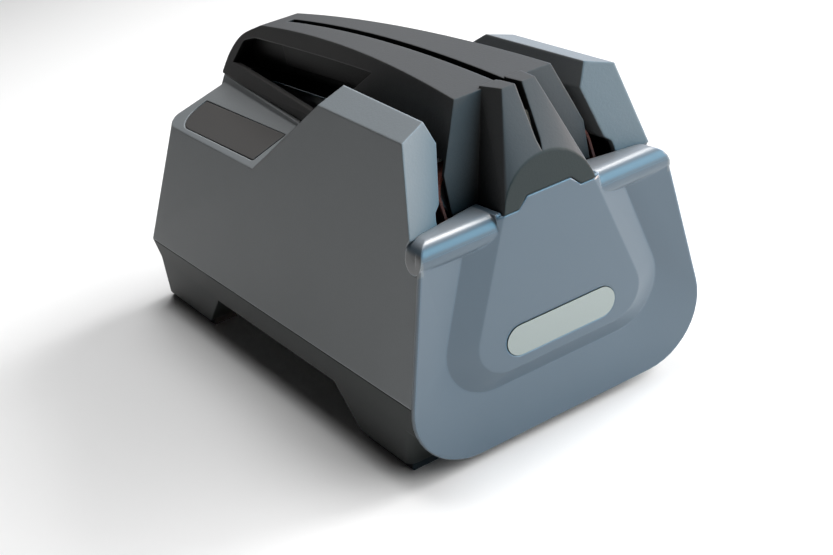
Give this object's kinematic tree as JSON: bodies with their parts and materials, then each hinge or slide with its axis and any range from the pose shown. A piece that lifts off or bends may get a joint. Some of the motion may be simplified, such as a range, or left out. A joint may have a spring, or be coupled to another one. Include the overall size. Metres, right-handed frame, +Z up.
{
  "type": "electric knife sharpener",
  "caption": "Electric knife sharpener: a lift-off knife guide over an abrasive belt between two humps, with a start button and a motor in a rounded housing on rubber feet.",
  "frame": {"origin": "on the table under the middle of the sharpener", "axes": "+Z up, +Y from the front cover to the rear wall, +X to the right seen from the front"},
  "size_m": [0.127, 0.274, 0.1361],
  "materials": {
    "housing_plastic": "moulded, satin",
    "base_plastic": "moulded, fine grain",
    "cover_plastic": "moulded, satin",
    "guide_plastic": "moulded, fine grain",
    "button_plastic": "moulded, satin",
    "badge_metal": "anodised, satin",
    "rubber": "moulded",
    "abrasive": "coated with grit",
    "steel": "ground",
    "zinc": "plated, satin",
    "ceramic": "fired, fine",
    "nylon": "moulded",
    "board": "lacquered",
    "magnet": "sintered",
    "copper": "wound wire and laminated core"
  },
  "bodies": {
    "housing": {"upper_housing": "housing_plastic", "lower_base": "base_plastic", "front_cover": "cover_plastic", "badge_plate": "badge_metal", "rubber_foot_front_left": "rubber", "rubber_foot_front_right": "rubber", "rubber_foot_rear_left": "rubber", "rubber_foot_rear_right": "rubber", "housing_screw_front_left": "zinc", "housing_screw_front_right": "zinc", "housing_screw_rear_left": "zinc", "housing_screw_rear_right": "zinc", "button_spring": "steel", "start_switch": "nylon", "circuit_board": "board", "abrasive_belt": "abrasive", "idler_axle_left": "steel", "idler_axle_right": "steel", "arm_pivot_pin": "steel", "tension_spring": "steel", "belt_frame": "zinc", "motor_can": "zinc", "motor_end_cap": "nylon", "motor_magnet_left": "magnet", "motor_magnet_right": "magnet", "motor_cradle": "base_plastic", "motor_strap": "zinc", "power_socket": "button_plastic"},
    "guide": {"knife_guide": "guide_plastic", "honing_rod_front": "ceramic", "honing_rod_rear": "ceramic"},
    "button": {"start_button": "button_plastic"},
    "rotor": {"motor_shaft": "steel", "drive_pulley": "nylon", "motor_armature": "copper", "cooling_fan": "button_plastic"},
    "idler_left": {"idler_pulley_left": "nylon"},
    "idler_right": {"idler_pulley_right": "nylon"},
    "arm": {"tension_arm": "zinc", "tension_axle": "steel"},
    "tensioner": {"tension_pulley": "nylon"}
  },
  "joints": [
    {"name": "guide_lift", "type": "slide", "parent": "housing", "child": "guide", "axis": [0, 0, 1], "range_m": [0, 0.06]},
    {"name": "button_press", "type": "slide", "parent": "housing", "child": "button", "axis": [0.304, 0.0166, -0.9525], "range_m": [0, 0.002], "stiffness_N_per_m": 600, "springref_m": -0.002, "deforming": ["button_spring"]},
    {"name": "drive_spin", "type": "hinge", "parent": "housing", "child": "rotor", "pos_m": [0.0197, -0.11789, 0.06991], "axis": [0, 0.9781, -0.2079], "continuous": true},
    {"name": "idler_left_spin", "type": "hinge", "parent": "housing", "child": "idler_left", "pos_m": [-0.0215, -0.11213, 0.097], "axis": [0, 0.9781, -0.2079], "continuous": true},
    {"name": "idler_right_spin", "type": "hinge", "parent": "housing", "child": "idler_right", "pos_m": [0.0215, -0.11213, 0.097], "axis": [0, 0.9781, -0.2079], "continuous": true},
    {"name": "tension_arm_swing", "type": "hinge", "parent": "housing", "child": "arm", "pos_m": [-0.005, -0.11827, 0.06814], "axis": [0, 0.9781, -0.2079], "range_deg": [0, 8], "stiffness_Nm_per_rad": 0.5, "springref_deg": -17.19},
    {"name": "tension_pulley_spin", "type": "hinge", "parent": "arm", "child": "tensioner", "pos_m": [-0.0215, -0.11827, 0.06814], "axis": [0, 0.9781, -0.2079], "continuous": true}
  ],
  "couplings": [
    {"joint": "idler_left_spin", "follows": "drive_spin", "ratio": 1.1895},
    {"joint": "idler_right_spin", "follows": "drive_spin", "ratio": 1.1895},
    {"joint": "tension_pulley_spin", "follows": "drive_spin", "ratio": 1.1895}
  ]
}
